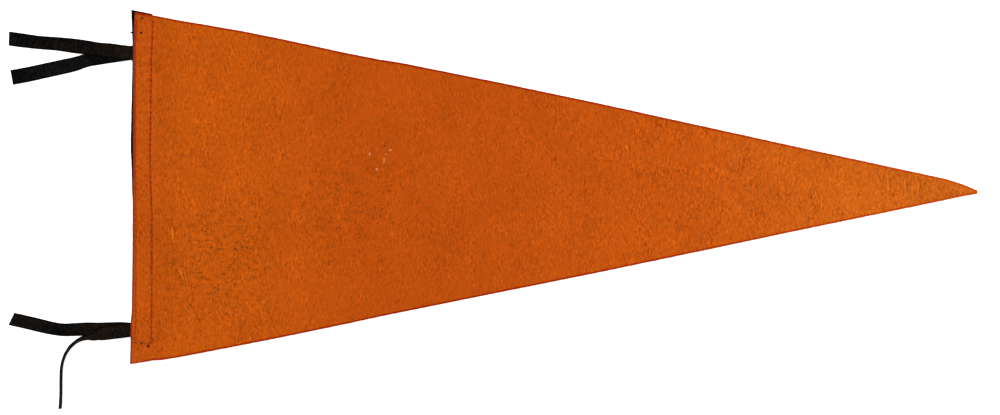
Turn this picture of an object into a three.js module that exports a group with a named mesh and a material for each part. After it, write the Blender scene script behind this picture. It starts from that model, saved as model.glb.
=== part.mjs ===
// Felt pennant flag with a heading strip and two pairs of ties.
// It lies on its face, so its plain reverse side shows.
// Millimetres. +X runs from the hoist to the tip, +Z up from the surface that the cloth lies on.
import * as THREE from "three";

// Sheets of felt
const FIELD_THICKNESS = 1.5;
const HEADING_THICKNESS = 1.2;
const TIE_THICKNESS = 1;
const TIE_WIDTH = 12;
const LAYER_GAP = 0.3; // between one layer of felt and the next
const LIFT_BELOW = HEADING_THICKNESS + LAYER_GAP; // underside of a tie's lower layer at the hoist
const LIFT_ABOVE = LIFT_BELOW + TIE_THICKNESS + LAYER_GAP; // and of its upper layer

// Hoist, heading and fly
const HOIST_X = -312;
const FLY_LENGTH = 731.1; // hoist to tip
const RAMP_START_X = -293.2; // past the heading's edge under the field
const RAMP_LENGTH = 14; // over which the field comes down from there to the surface

// Ties: each is one strip folded in half, its fold caught between heading and field
const UPPER_TIE_Y = 135;
const LOWER_TIE_Y = -104.6;
const TIE_FOLD_X = -300.4; // centre of the fold's bend
const TIE_HUMP_FLAT = 7; // half width of the field's raised strip over a tie
const TIE_HUMP_SIDE = 6; // width of its slope on each side
const STRAIGHT_BEFORE_FOLD = 5;

// How far the lying cloth lifts from the surface
const TIP_LIFT = 1.8;
const TIP_LIFT_LENGTH = 45;
const CORNER_LIFT = 1.2;
const CORNER_LIFT_LENGTH = 28;
const EDGE_LIFT = 0.7;
const EDGE_WAVE_LENGTH = 150;

// Mesh steps
const ROW_STEP = 13; // across the fly, away from the ties
const COLUMN_STEP = 22; // along the fly
// Distances of the columns from the hoist, over the heading and at the tip
const HOIST_COLUMNS = [0, 4, 8, 11, 13.6, 16, 18.8, 21.5, 24, 26.5, 29.5, 33, 38];
const TIP_COLUMNS = [704, 711, 717, 723, 727.5, FLY_LENGTH];
const TAIL_STEPS = 3; // sections for each row of a tail's table
const TANGENT_STEP = 0.1; // rows of the table to each side, for a tail's direction
const FOLD_STEPS = 6;

// The field's long edges, bowed a little outwards, measured from the hoist.
const FIELD_EDGES = [
  { fromHoist: 0, upper: 170.4, lower: -134.5 },
  { fromHoist: 17, upper: 167.6, lower: -131.0 },
  { fromHoist: 26, upper: 165.8, lower: -130.5 },
  { fromHoist: 41, upper: 162.9, lower: -128.0 },
  { fromHoist: 58, upper: 160.1, lower: -124.7 },
  { fromHoist: 93, upper: 154.1, lower: -118.0 },
  { fromHoist: 128, upper: 147.1, lower: -111.1 },
  { fromHoist: 145, upper: 143.5, lower: -107.6 },
  { fromHoist: 180, upper: 135.8, lower: -100.3 },
  { fromHoist: 214, upper: 129.1, lower: -92.9 },
  { fromHoist: 232, upper: 126.4, lower: -89.3 },
  { fromHoist: 318, upper: 109.1, lower: -71.9 },
  { fromHoist: 405, upper: 90.9, lower: -54.4 },
  { fromHoist: 491, upper: 72.0, lower: -36.4 },
  { fromHoist: 578, upper: 52.9, lower: -18.0 },
  { fromHoist: 665, upper: 34.2, lower: 0.0 },
  { fromHoist: 704, upper: 25.8, lower: 8.1 },
  { fromHoist: 717, upper: 21.6, lower: 11.0 },
  { fromHoist: 727, upper: 17.5, lower: 12.7 },
  { fromHoist: FLY_LENGTH, upper: 15.8, lower: 13.6 },
];

// The hand-cut hoist edges of the field and of the heading, and the heading's edge under the field,
// from the lower corner up.
const FIELD_HOIST_EDGE = [
  { y: -134.5, x: -314.4 },
  { y: -113, x: -313.7 },
  { y: -96, x: -313.5 },
  { y: -86, x: -312.8 },
  { y: -36, x: -312.2 },
  { y: 7, x: -312.1 },
  { y: 18, x: -312.3 },
  { y: 30, x: -311.7 },
  { y: 115, x: -311.7 },
  { y: 135, x: -311.4 },
  { y: 158, x: -311.0 },
  { y: 170.4, x: -310.0 },
];
const HEADING_HOIST_EDGE = [
  { y: -132.6, x: -313.0 },
  { y: -105, x: -312.6 },
  { y: -60, x: -311.6 },
  { y: 0, x: -311.6 },
  { y: 16, x: -312.5 },
  { y: 42, x: -313.1 },
  { y: 51, x: -313.7 },
  { y: 60, x: -313.7 },
  { y: 76, x: -313.2 },
  { y: 94, x: -312.9 },
  { y: 120, x: -312.3 },
  { y: 144, x: -312.1 },
  { y: 160, x: -312.7 },
  { y: 172.5, x: -313.1 },
];
const HEADING_INNER_EDGE = [
  { y: -130.6, x: -295.0 },
  { y: -60, x: -294.8 },
  { y: 0, x: -294.8 },
  { y: 25, x: -295.7 },
  { y: 55, x: -296.3 },
  { y: 85, x: -295.8 },
  { y: 128, x: -295.2 },
  { y: 150, x: -294.2 },
  { y: 162, x: -294.2 },
  { y: 168.9, x: -295.2 },
];

// Tails, from the free end to the hoist: centre line, height of the underside above the surface,
// turn of the strip about its own length (90 stands it on its edge), and width.
const UPPER_TIE_TAILS = {
  below: [
    { x: -416.45, y: 114.0, lift: 0.6, turn: 0, width: 12.4 },
    { x: -404.2, y: 116.2, lift: 0.2, turn: 0, width: 12.4 },
    { x: -388.6, y: 119.6, lift: 0, turn: 0, width: 12.3 },
    { x: -373.0, y: 123.0, lift: 0.2, turn: 0, width: 12.2 },
    { x: -362.6, y: 125.4, lift: 0, turn: 0, width: 11.8 },
    { x: -352.2, y: 128.6, lift: 0, turn: 0, width: 11.0 },
    { x: -341.9, y: 130.7, lift: 0, turn: 0, width: 11.4 },
    { x: -331.5, y: 132.4, lift: 0.2, turn: 0, width: 11.6 },
    { x: -322.5, y: 133.8, lift: 1.2, turn: 0, width: 11.8 },
    { x: -315.5, y: UPPER_TIE_Y, lift: LIFT_BELOW, turn: 0, width: TIE_WIDTH },
  ],
  above: [
    { x: -418.82, y: 147.5, lift: 0.8, turn: 0, width: 11.6 },
    { x: -409.4, y: 146.2, lift: 0.3, turn: 0, width: 11.6 },
    { x: -393.8, y: 144.2, lift: 0, turn: 0, width: 11.1 },
    { x: -378.2, y: 143.0, lift: 0.2, turn: 0, width: 11.2 },
    { x: -364.6, y: 141.4, lift: 0.5, turn: 0, width: 12.0 },
    { x: -352.2, y: 139.8, lift: 1.4, turn: 0, width: 11.8 },
    { x: -341.9, y: 138.0, lift: 1.5, turn: 0, width: 11.8 },
    { x: -331.5, y: 137.2, lift: 1.7, turn: 0, width: 11.8 },
    { x: -322.5, y: 135.9, lift: 2.6, turn: 0, width: 11.8 },
    { x: -315.5, y: UPPER_TIE_Y, lift: LIFT_ABOVE, turn: 0, width: TIE_WIDTH },
  ],
};
const LOWER_TIE_TAILS = {
  below: [
    { x: -416.72, y: -95.3, lift: 0.7, turn: 0, width: 11.0 },
    { x: -404.2, y: -98.1, lift: 0.2, turn: 0, width: 11.0 },
    { x: -393.8, y: -100.6, lift: 0, turn: 0, width: 11.1 },
    { x: -383.4, y: -103.0, lift: 0, turn: 0, width: 10.8 },
    { x: -373.0, y: -104.6, lift: 0.2, turn: 0, width: 10.5 },
    { x: -362.6, y: -104.4, lift: 0, turn: 0, width: 10.8 },
    { x: -352.2, y: -104.0, lift: 0, turn: 0, width: 11.1 },
    { x: -341.9, y: -104.3, lift: 0, turn: 0, width: 11.4 },
    { x: -331.5, y: -104.1, lift: 0.1, turn: 0, width: 11.6 },
    { x: -322.5, y: -104.0, lift: 1.0, turn: 0, width: 11.8 },
    { x: -315.5, y: LOWER_TIE_Y, lift: LIFT_BELOW, turn: 0, width: TIE_WIDTH },
  ],
  above: [
    { x: -374.65, y: -172.48, lift: 0, turn: 84, width: TIE_WIDTH },
    { x: -374.05, y: -161.5, lift: 0, turn: 85, width: TIE_WIDTH },
    { x: -373.95, y: -150.0, lift: 0, turn: 85, width: TIE_WIDTH },
    { x: -373.65, y: -139.0, lift: 0, turn: 85, width: TIE_WIDTH },
    { x: -372.3, y: -131.5, lift: 0, turn: 85, width: TIE_WIDTH },
    { x: -369.85, y: -125.2, lift: 0, turn: 84, width: TIE_WIDTH },
    { x: -365.5, y: -118.9, lift: 0, turn: 81, width: TIE_WIDTH },
    { x: -360.1, y: -114.4, lift: 0, turn: 79, width: TIE_WIDTH },
    { x: -355.0, y: -112.0, lift: 0, turn: 74, width: TIE_WIDTH },
    { x: -350.7, y: -111.2, lift: 0, turn: 70, width: TIE_WIDTH },
    { x: -346.6, y: -110.6, lift: 0.1, turn: 58, width: TIE_WIDTH },
    { x: -342.4, y: -108.9, lift: 0.5, turn: 38, width: TIE_WIDTH },
    { x: -336.7, y: -107.6, lift: 1.1, turn: 17, width: TIE_WIDTH },
    { x: -329.7, y: -106.5, lift: 1.8, turn: 8, width: TIE_WIDTH },
    { x: -322.5, y: -105.6, lift: 2.6, turn: 3, width: TIE_WIDTH },
    { x: -315.5, y: LOWER_TIE_Y, lift: LIFT_ABOVE, turn: 0, width: TIE_WIDTH },
  ],
};
// Degrees by which the tails' ends are cut off square
const UPPER_TIE_SKEW = { below: 0, above: -6 };
const LOWER_TIE_SKEW = { below: 13, above: 0 };

const UP = new THREE.Vector3(0, 0, 1);
const { degToRad, lerp, smoothstep } = THREE.MathUtils;

// Smooth value of a table's column at a position that counts its rows.
function glide(rows, column, position) {
  const last = rows.length - 1;
  const start = Math.min(Math.floor(position), last - 1);
  const t = position - start;
  const value = (row) => rows[THREE.MathUtils.clamp(row, 0, last)][column];
  const [before, from, to, after] = [-1, 0, 1, 2].map((step) => value(start + step));
  const slopeFrom = (to - before) / (start > 0 ? 2 : 1);
  const slopeTo = (after - from) / (start < last - 1 ? 2 : 1);
  return (
    from +
    slopeFrom * t +
    (3 * (to - from) - 2 * slopeFrom - slopeTo) * t ** 2 +
    (2 * (from - to) + slopeFrom + slopeTo) * t ** 3
  );
}

// Value of one column of a table where another column, which rises, has a given value.
function lookUp(rows, key, column, at) {
  const next = Math.max(1, rows.findIndex((row) => row[key] >= at));
  const [a, b] = at > rows.at(-1)[key] ? rows.slice(-2) : [rows[next - 1], rows[next]];
  return lerp(a[column], b[column], (at - a[key]) / (b[key] - a[key]));
}

// Values from one number to another in equal steps no longer than a given one.
function evenSteps(from, to, longest) {
  const count = Math.max(1, Math.ceil((to - from) / longest));
  return Array.from({ length: count + 1 }, (_, i) => lerp(from, to, i / count));
}

// Rows at the hoist: close together where the field climbs over a tie, wider apart elsewhere.
function hoistRows(lower, upper) {
  const slope = evenSteps(TIE_HUMP_FLAT, TIE_HUMP_FLAT + TIE_HUMP_SIDE, TIE_HUMP_SIDE / 3);
  const offsets = [...slope.map((offset) => -offset).reverse(), ...slope];
  const overTies = [LOWER_TIE_Y, UPPER_TIE_Y].flatMap((y) => offsets.map((offset) => y + offset));
  const stops = [lower, ...overTies, upper];
  const rows = stops.slice(1).flatMap((stop, i) => evenSteps(stops[i], stop, ROW_STEP).slice(1));
  return [lower, ...rows].map((y) => (y - lower) / (upper - lower));
}

// Height of the field's underside: over the heading, over the ties, and where it lifts by itself.
function undersideOfField(x, y, share) {
  const overHeading = 1 - smoothstep(x, RAMP_START_X, RAMP_START_X + RAMP_LENGTH);
  const foldEnd = TIE_FOLD_X + 2;
  const pastFold = 1 - smoothstep(x, foldEnd, foldEnd + RAMP_LENGTH);
  const overTie = [LOWER_TIE_Y, UPPER_TIE_Y]
    .map((tie) => 1 - smoothstep(Math.abs(y - tie), TIE_HUMP_FLAT, TIE_HUMP_FLAT + TIE_HUMP_SIDE))
    .reduce((a, b) => Math.max(a, b));
  const tipX = HOIST_X + FLY_LENGTH;
  const atTip = smoothstep(x, tipX - TIP_LIFT_LENGTH, tipX);
  const fromCorner = Math.hypot(x - HOIST_X, y - FIELD_EDGES[0].lower);
  const atCorner = 1 - smoothstep(fromCorner, 0, CORNER_LIFT_LENGTH);
  const wave = Math.sin((2 * Math.PI * x) / EDGE_WAVE_LENGTH + (share > 0.5 ? 2 : 0));
  const atEdge = smoothstep(Math.abs(share - 0.5), 0.42, 0.5) * Math.max(0, wave) * (1 - overHeading);
  return (
    (HEADING_THICKNESS + LAYER_GAP) * overHeading +
    2 * (TIE_THICKNESS + LAYER_GAP) * overTie * pastFold +
    TIP_LIFT * atTip +
    CORNER_LIFT * atCorner +
    EDGE_LIFT * atEdge * (1 - atTip)
  );
}

function fieldGeometry() {
  const first = FIELD_EDGES[0];
  const between = evenSteps(HOIST_COLUMNS.at(-1), TIP_COLUMNS[0], COLUMN_STEP).slice(1, -1);
  const columns = [...HOIST_COLUMNS, ...between, ...TIP_COLUMNS].map((fromHoist) => {
    const lower = lookUp(FIELD_EDGES, "fromHoist", "lower", fromHoist);
    const upper = lookUp(FIELD_EDGES, "fromHoist", "upper", fromHoist);
    const atHoist = fromHoist <= HOIST_COLUMNS.at(-1);
    const shares = atHoist
      ? hoistRows(first.lower, first.upper)
      : evenSteps(0, 1, 1 / Math.max(2, Math.ceil((upper - lower) / ROW_STEP)));
    return shares.map((share) => {
      const y = lerp(lower, upper, share);
      const cutEdge = lookUp(FIELD_HOIST_EDGE, "y", "x", y) - HOIST_X;
      const x = HOIST_X + fromHoist + cutEdge * (1 - smoothstep(fromHoist, 0, 11));
      return { share, x, y, z: undersideOfField(x, y, share) };
    });
  });
  const starts = columns.map((_, i) => columns.slice(0, i).flat().length);
  const points = columns.flat();
  const positions = [0, FIELD_THICKNESS].flatMap((rise) =>
    points.flatMap(({ x, y, z }) => [x, y, z + rise]),
  );
  const faces = [];
  const top = (index) => index + points.length;
  const bothSides = (a, b, c) => faces.push(top(a), top(b), top(c), a, c, b);
  const rim = (a, b) => faces.push(a, b, top(b), a, top(b), top(a));
  for (let i = 0; i < columns.length - 1; i++) {
    const [left, right] = [columns[i], columns[i + 1]];
    let [a, b] = [0, 0];
    rim(starts[i], starts[i + 1]);
    rim(starts[i + 1] + right.length - 1, starts[i] + left.length - 1);
    while (a < left.length - 1 || b < right.length - 1) {
      const leftFirst =
        b === right.length - 1 || (a < left.length - 1 && left[a + 1].share <= right[b + 1].share);
      const [from, across] = [starts[i] + a, starts[i + 1] + b];
      bothSides(from, across, leftFirst ? from + 1 : across + 1);
      if (leftFirst) a += 1;
      else b += 1;
    }
  }
  for (let j = 0; j < columns[0].length - 1; j++) rim(j + 1, j);
  for (let j = 0; j < columns.at(-1).length - 1; j++) rim(starts.at(-1) + j, starts.at(-1) + j + 1);
  return closedGeometry(positions, faces);
}

function headingGeometry() {
  const outline = new THREE.Shape();
  outline.setFromPoints([...HEADING_INNER_EDGE, ...HEADING_HOIST_EDGE.toReversed()]);
  return new THREE.ExtrudeGeometry(outline, { depth: HEADING_THICKNESS, bevelEnabled: false });
}

// Sections of one tail, from its free end to the fold. Its face on the fold's inner side is given by
// inward: 1 for the layer below, whose inner face looks up, and -1 for the layer above.
function tailSections(table, layerZ, inward, skew) {
  const last = table.length - 1;
  const sections = [];
  for (let i = 0; i <= last * TAIL_STEPS; i++) {
    const position = i / TAIL_STEPS;
    const [x, y, lift, turn, width] = ["x", "y", "lift", "turn", "width"].map((column) =>
      glide(table, column, position),
    );
    const ahead = Math.min(position + TANGENT_STEP, last);
    const behind = Math.max(position - TANGENT_STEP, 0);
    const [dx, dy] = ["x", "y"].map((column) => glide(table, column, ahead) - glide(table, column, behind));
    const along = new THREE.Vector3(dx, dy, 0).normalize();
    const side = new THREE.Vector3().crossVectors(UP, along);
    if (i === 0) side.applyAxisAngle(UP, -degToRad(skew));
    const angle = degToRad(turn);
    const across = side.clone().multiplyScalar(Math.cos(angle)).addScaledVector(UP, Math.sin(angle));
    const facing = UP.clone().multiplyScalar(Math.cos(angle)).addScaledVector(side, -Math.sin(angle));
    const z = Math.max(0, lift) + (width / 2) * Math.sin(angle) + (TIE_THICKNESS / 2) * Math.cos(angle);
    facing.multiplyScalar(inward);
    sections.push({ centre: new THREE.Vector3(x, y, z), across, facing, width });
  }
  const { y } = table.at(-1);
  const across = new THREE.Vector3(0, 1, 0);
  const facing = new THREE.Vector3(0, 0, inward);
  const centre = new THREE.Vector3(TIE_FOLD_X - STRAIGHT_BEFORE_FOLD, y, layerZ);
  sections.push({ centre, across, facing, width: TIE_WIDTH });
  return sections;
}

// One tie: a strip whose two tails meet in a tight fold.
function tieGeometry(tails, skew) {
  const foldRadius = (TIE_THICKNESS + LAYER_GAP) / 2;
  const lowZ = LIFT_BELOW + TIE_THICKNESS / 2;
  const foldZ = lowZ + foldRadius;
  const { y } = tails.below.at(-1);
  const fold = Array.from({ length: FOLD_STEPS + 1 }, (_, i) => {
    const angle = (Math.PI * i) / FOLD_STEPS - Math.PI / 2;
    const outward = new THREE.Vector3(Math.cos(angle), 0, Math.sin(angle));
    return {
      centre: new THREE.Vector3(TIE_FOLD_X, y, foldZ).addScaledVector(outward, foldRadius),
      across: new THREE.Vector3(0, 1, 0),
      facing: outward.clone().negate(),
      width: TIE_WIDTH,
    };
  });
  const sections = [
    ...tailSections(tails.below, lowZ, 1, skew.below),
    ...fold,
    ...tailSections(tails.above, lowZ + 2 * foldRadius, -1, skew.above).reverse(),
  ];
  const corners = [[1, 1], [1, -1], [-1, -1], [-1, 1]];
  const positions = sections.flatMap(({ centre, across, facing, width }) =>
    corners.flatMap(([side, face]) =>
      centre
        .clone()
        .addScaledVector(across, (side * width) / 2)
        .addScaledVector(facing, (face * TIE_THICKNESS) / 2)
        .toArray(),
    ),
  );
  const faces = [];
  const quad = (a, b, c, d) => faces.push(a, b, c, a, c, d);
  for (let i = 0; i < sections.length - 1; i++)
    for (let k = 0; k < 4; k++) {
      const next = (k + 1) % 4;
      quad(4 * i + k, 4 * (i + 1) + k, 4 * (i + 1) + next, 4 * i + next);
    }
  const end = 4 * (sections.length - 1);
  quad(0, 1, 2, 3);
  quad(end + 3, end + 2, end + 1, end);
  return closedGeometry(positions, faces);
}

function closedGeometry(positions, faces) {
  const geometry = new THREE.BufferGeometry();
  geometry.setAttribute("position", new THREE.Float32BufferAttribute(positions, 3));
  geometry.setIndex(faces);
  geometry.computeVertexNormals();
  return geometry;
}

const feltOrange = () => new THREE.MeshStandardMaterial({ color: "#bf5410", roughness: 1, metalness: 0 });
const feltBlack = () => new THREE.MeshStandardMaterial({ color: "#171513", roughness: 1, metalness: 0 });

const pennant = new THREE.Group();
const pieces = [
  { name: "field", geometry: fieldGeometry(), material: feltOrange() },
  { name: "heading", geometry: headingGeometry(), material: feltBlack() },
  { name: "tie_upper", geometry: tieGeometry(UPPER_TIE_TAILS, UPPER_TIE_SKEW), material: feltBlack() },
  { name: "tie_lower", geometry: tieGeometry(LOWER_TIE_TAILS, LOWER_TIE_SKEW), material: feltBlack() },
];
for (const { name, geometry, material } of pieces) {
  const mesh = new THREE.Mesh(geometry, material);
  mesh.name = name;
  pennant.add(mesh);
}

export default pennant;
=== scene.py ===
from math import ceil, cos, log, pi, radians, sin, sqrt

import bmesh
import bpy
import numpy as np
from mathutils import Matrix, Vector, noise


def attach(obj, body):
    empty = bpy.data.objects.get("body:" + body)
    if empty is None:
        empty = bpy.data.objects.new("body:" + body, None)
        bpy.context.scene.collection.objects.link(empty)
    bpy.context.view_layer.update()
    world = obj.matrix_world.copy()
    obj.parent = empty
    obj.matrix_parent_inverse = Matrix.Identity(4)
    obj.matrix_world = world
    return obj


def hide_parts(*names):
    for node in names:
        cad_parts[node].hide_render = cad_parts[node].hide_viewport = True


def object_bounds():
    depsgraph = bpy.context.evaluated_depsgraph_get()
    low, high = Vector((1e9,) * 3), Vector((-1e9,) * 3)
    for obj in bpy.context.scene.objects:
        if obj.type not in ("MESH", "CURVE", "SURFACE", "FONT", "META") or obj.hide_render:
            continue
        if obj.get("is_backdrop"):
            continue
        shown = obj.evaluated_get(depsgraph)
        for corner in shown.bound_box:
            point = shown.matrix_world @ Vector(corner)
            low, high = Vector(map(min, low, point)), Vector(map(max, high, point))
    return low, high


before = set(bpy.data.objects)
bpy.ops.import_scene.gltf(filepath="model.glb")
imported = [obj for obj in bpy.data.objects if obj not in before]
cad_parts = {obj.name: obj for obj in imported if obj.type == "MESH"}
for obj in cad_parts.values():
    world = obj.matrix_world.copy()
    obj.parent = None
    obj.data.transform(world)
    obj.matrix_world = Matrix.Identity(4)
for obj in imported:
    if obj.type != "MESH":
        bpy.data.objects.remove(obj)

CAD_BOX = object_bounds()
MM = 0.001

# Sheets of felt, in millimetres
FIELD_THICKNESS = 1.5
HEADING_THICKNESS = 1.2
TIE_THICKNESS = 1.0
TIE_WIDTH = 12.0
LAYER_GAP = 0.3  # between one layer of felt and the next
CUT_MARGIN = 0.22  # by which the fibres of a cut edge stand out past the line of the cut
BLACK_CUT_MARGIN = 1.4 * CUT_MARGIN
END_MARGIN = 0.6  # the same at a tie's cut ends
LIFT_BELOW = HEADING_THICKNESS + LAYER_GAP  # underside of a tie's lower layer at the hoist
LIFT_ABOVE = LIFT_BELOW + TIE_THICKNESS + LAYER_GAP  # and of its upper layer

# Hoist, heading and fly
HOIST_X = -312.0
FLY_LENGTH = 731.1
TIP_X = HOIST_X + FLY_LENGTH
RAMP_START_X = -293.2  # past the heading's edge under the field
RAMP_LENGTH = 14.0  # over which the field comes down from there

# Ties: each is one strip folded in half, its fold caught between heading and field
UPPER_TIE_Y = 135.0
LOWER_TIE_Y = -104.6
TIE_FOLD_X = -300.4
TIE_HUMP_FLAT = 7.0
TIE_HUMP_SIDE = 6.0
STRAIGHT_BEFORE_FOLD = 5.0
# Degrees from square at which the ends of the tails below and above are cut
UPPER_TIE_SKEW = (0.0, -6.0)
LOWER_TIE_SKEW = (13.0, 0.0)

# How far the lying cloth lifts from the surface
TIP_LIFT = 1.8
TIP_LIFT_LENGTH = 45.0
CORNER_LIFT = 1.2
CORNER_LIFT_LENGTH = 28.0
EDGE_LIFT = 0.7
EDGE_WAVE_LENGTH = 150.0

# Long edges of the field: distance from the hoist, upper y, lower y.
FIELD_EDGES = np.array([
    (0, 170.4, -134.5), (17, 167.6, -131.0), (26, 165.8, -130.5), (41, 162.9, -128.0),
    (58, 160.1, -124.7), (93, 154.1, -118.0), (128, 147.1, -111.1), (145, 143.5, -107.6),
    (180, 135.8, -100.3), (214, 129.1, -92.9), (232, 126.4, -89.3), (318, 109.1, -71.9),
    (405, 90.9, -54.4), (491, 72.0, -36.4), (578, 52.9, -18.0), (665, 34.2, 0.0),
    (704, 25.8, 8.1), (717, 21.6, 11.0), (727, 17.5, 12.7), (FLY_LENGTH, 15.8, 13.6),
])
# Hand-cut hoist edges of the field and the heading, and the heading's edge under the field: y, x.
FIELD_HOIST_EDGE = np.array([
    (-134.5, -314.4), (-113, -313.7), (-96, -313.5), (-86, -312.8), (-36, -312.2), (7, -312.1),
    (18, -312.3), (30, -311.7), (115, -311.7), (135, -311.4), (158, -311.0), (170.4, -310.0),
])
HEADING_HOIST_EDGE = np.array([
    (-132.6, -313.0), (-105, -312.6), (-60, -311.6), (0, -311.6), (16, -312.5), (42, -313.1),
    (51, -313.7), (60, -313.7), (76, -313.2), (94, -312.9), (120, -312.3), (144, -312.1),
    (160, -312.7), (172.5, -313.1),
])
HEADING_INNER_EDGE = np.array([
    (-130.6, -295.0), (-60, -294.8), (0, -294.8), (25, -295.7), (55, -296.3), (85, -295.8),
    (128, -295.2), (150, -294.2), (162, -294.2), (168.9, -295.2),
])

# Tails from the free end to the hoist: x, y, height of the underside, turn of the strip about its
# length in degrees, width.
UPPER_TAIL_BELOW = [
    (-416.45, 114.0, 0.6, 0, 12.4), (-404.2, 116.2, 0.2, 0, 12.4), (-388.6, 119.6, 0, 0, 12.3),
    (-373.0, 123.0, 0.2, 0, 12.2), (-362.6, 125.4, 0, 0, 11.8), (-352.2, 128.6, 0, 0, 11.0),
    (-341.9, 130.7, 0, 0, 11.4), (-331.5, 132.4, 0.2, 0, 11.6), (-322.5, 133.8, 1.2, 0, 11.8),
    (-315.5, UPPER_TIE_Y, LIFT_BELOW, 0, TIE_WIDTH),
]
UPPER_TAIL_ABOVE = [
    (-418.82, 147.5, 0.8, 0, 11.6), (-409.4, 146.2, 0.3, 0, 11.6), (-393.8, 144.2, 0, 0, 11.1),
    (-378.2, 143.0, 0.2, 0, 11.2), (-364.6, 141.4, 0.5, 0, 12.0), (-352.2, 139.8, 1.4, 0, 11.8),
    (-341.9, 138.0, 1.5, 0, 11.8), (-331.5, 137.2, 1.7, 0, 11.8), (-322.5, 135.9, 2.6, 0, 11.8),
    (-315.5, UPPER_TIE_Y, LIFT_ABOVE, 0, TIE_WIDTH),
]
LOWER_TAIL_BELOW = [
    (-416.72, -95.3, 0.7, 0, 11.0), (-404.2, -98.1, 0.2, 0, 11.0), (-393.8, -100.6, 0, 0, 11.1),
    (-383.4, -103.0, 0, 0, 10.8), (-373.0, -104.6, 0.2, 0, 10.5), (-362.6, -104.4, 0, 0, 10.8),
    (-352.2, -104.0, 0, 0, 11.1), (-341.9, -104.3, 0, 0, 11.4), (-331.5, -104.1, 0.1, 0, 11.6),
    (-322.5, -104.0, 1.0, 0, 11.8), (-315.5, LOWER_TIE_Y, LIFT_BELOW, 0, TIE_WIDTH),
]
LOWER_TAIL_ABOVE = [(*row, TIE_WIDTH) for row in (
    (-374.65, -172.48, 0, 84), (-374.05, -161.5, 0, 85), (-373.95, -150.0, 0, 85),
    (-373.65, -139.0, 0, 85), (-372.3, -131.5, 0, 85), (-369.85, -125.2, 0, 84),
    (-365.5, -118.9, 0, 81), (-360.1, -114.4, 0, 79), (-355.0, -112.0, 0, 74),
    (-350.7, -111.2, 0, 70), (-346.6, -110.6, 0.1, 58), (-342.4, -108.9, 0.5, 38),
    (-336.7, -107.6, 1.1, 17), (-329.7, -106.5, 1.8, 8), (-322.5, -105.6, 2.6, 3),
    (-315.5, LOWER_TIE_Y, LIFT_ABOVE, 0),
)]

# Seams: y, x along each row of stitches. A stitch's length is from one needle hole to the next, and
# the thread draws each face in, most at the holes.
STITCH_LENGTH = 4.64
STITCH_COUNT = 60
SEAM_START_Y = -116.2
THREAD_RADIUS = 0.27
FIELD_DRAW = 0.5
HEADING_DRAW = 0.55
LAYER_DRAW = 0.1
INNER_SEAM = np.array([
    (-116.2, -295.9), (-90, -295.7), (-45, -295.6), (-5, -295.5), (25, -296.6), (50, -297.2),
    (85, -296.5), (128, -296.0), (150, -294.9), (163.0, -294.6),
])
OUTER_SEAM = np.array([
    (-116.2, -309.3), (-107, -309.8), (-80, -309.6), (0, -309.6), (60, -309.9), (140, -309.8),
    (150, -309.3), (163.0, -308.6),
])

# Soft creases in the lying cloth: x and y of the middle, length, turn from the Y axis in degrees,
# half width, height.
CREASES = [
    (-277.5, -22.5, 19, 7, 1.5, 0.30), (-275.6, -20.0, 14, 7, 1.2, -0.25),
    (-270.4, -55.5, 17, 22, 1.5, 0.28), (-272.4, -56.5, 14, 22, 1.2, -0.22),
    (115.5, 53.2, 7, 20, 1.9, 0.45), (118.2, 52.6, 7, 20, 1.8, -0.35),
    (341.5, 22.5, 26, 2, 1.5, 0.30), (344.0, 21.0, 20, -2, 1.3, -0.22),
    (356.0, 21.0, 18, 3, 1.4, 0.26), (358.6, 19.5, 15, 0, 1.3, -0.22),
    (367.8, 18.0, 16, -3, 1.4, 0.28), (370.2, 19.0, 12, 2, 1.2, -0.20),
    (330.0, 24.0, 20, 4, 1.6, -0.18), (-245.0, 22.0, 26, 5, 2.4, 0.14),
    (-178.0, -62.0, 30, -12, 2.6, 0.12), (-60.0, 48.0, 34, 9, 3.0, 0.13),
    (52.0, -12.0, 28, -6, 2.6, 0.12), (150.0, 20.0, 24, 4, 2.2, 0.14),
    (238.0, 31.0, 22, -5, 2.0, 0.15), (287.0, 10.0, 18, 6, 1.8, 0.16),
]
SHARP_CREASE = 0.2  # height from which a crease's ridge or trough shows as a line
# Holes that pins left near the hoist's corners: x, y, radius, depth, darkness of the painted shade in
# the hole.
PIN_HOLES = [
    (-303.9, 165.1, 1.10, 0.5, 0.85), (-304.8, 152.4, 1.15, 0.8, 1.0),
    (-304.1, -116.3, 1.00, 0.8, 1.0), (-298.6, -118.9, 1.25, 0.9, 1.0),
    (-306.8, -120.8, 0.80, 0.3, 0.7), (-305.1, -123.5, 0.75, 0.3, 0.6),
]

# The camera looks straight down on the middle of the photographed frame.
VIEW_WIDTH = 866.0
VIEW_CENTRE = (5.85, 1.26)
CAMERA_HEIGHT = 5200.0
SENSOR_WIDTH = 36.0

# Soft light from a pale room and a wide window, on a white matt board that glows like a light table,
# so that no shadow darkens it
ROOM_STRENGTH = 0.85
WINDOW_STRENGTH = 1.9
WINDOW_SPREAD = 24.0  # degrees
WINDOW_FROM = (-0.45, 0.32, 0.84)
BOARD_HALF_SIZE = 6.0  # metres
BOARD_DROP = 0.05
BOARD_GLOW = 0.6


def smooth(value, low, high):
    t = np.clip((value - low) / (high - low), 0.0, 1.0)
    return t * t * (3 - 2 * t)


def wander(x, y, size, seed):
    """Smooth random values between about -1 and 1, changing over size millimetres in x and y."""
    pairs = zip(x.ravel(), y.ravel())
    values = [noise.noise((a / size[0], b / size[1], seed)) for a, b in pairs]
    return np.array(values).reshape(x.shape)


def follow(curve, y):
    """The x of a curve, given as rows of y and x, at each y."""
    return np.interp(y, curve[:, 0], curve[:, 1])


def even_steps(start, end, longest):
    return np.linspace(start, end, ceil((end - start) / longest) + 1)


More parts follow.
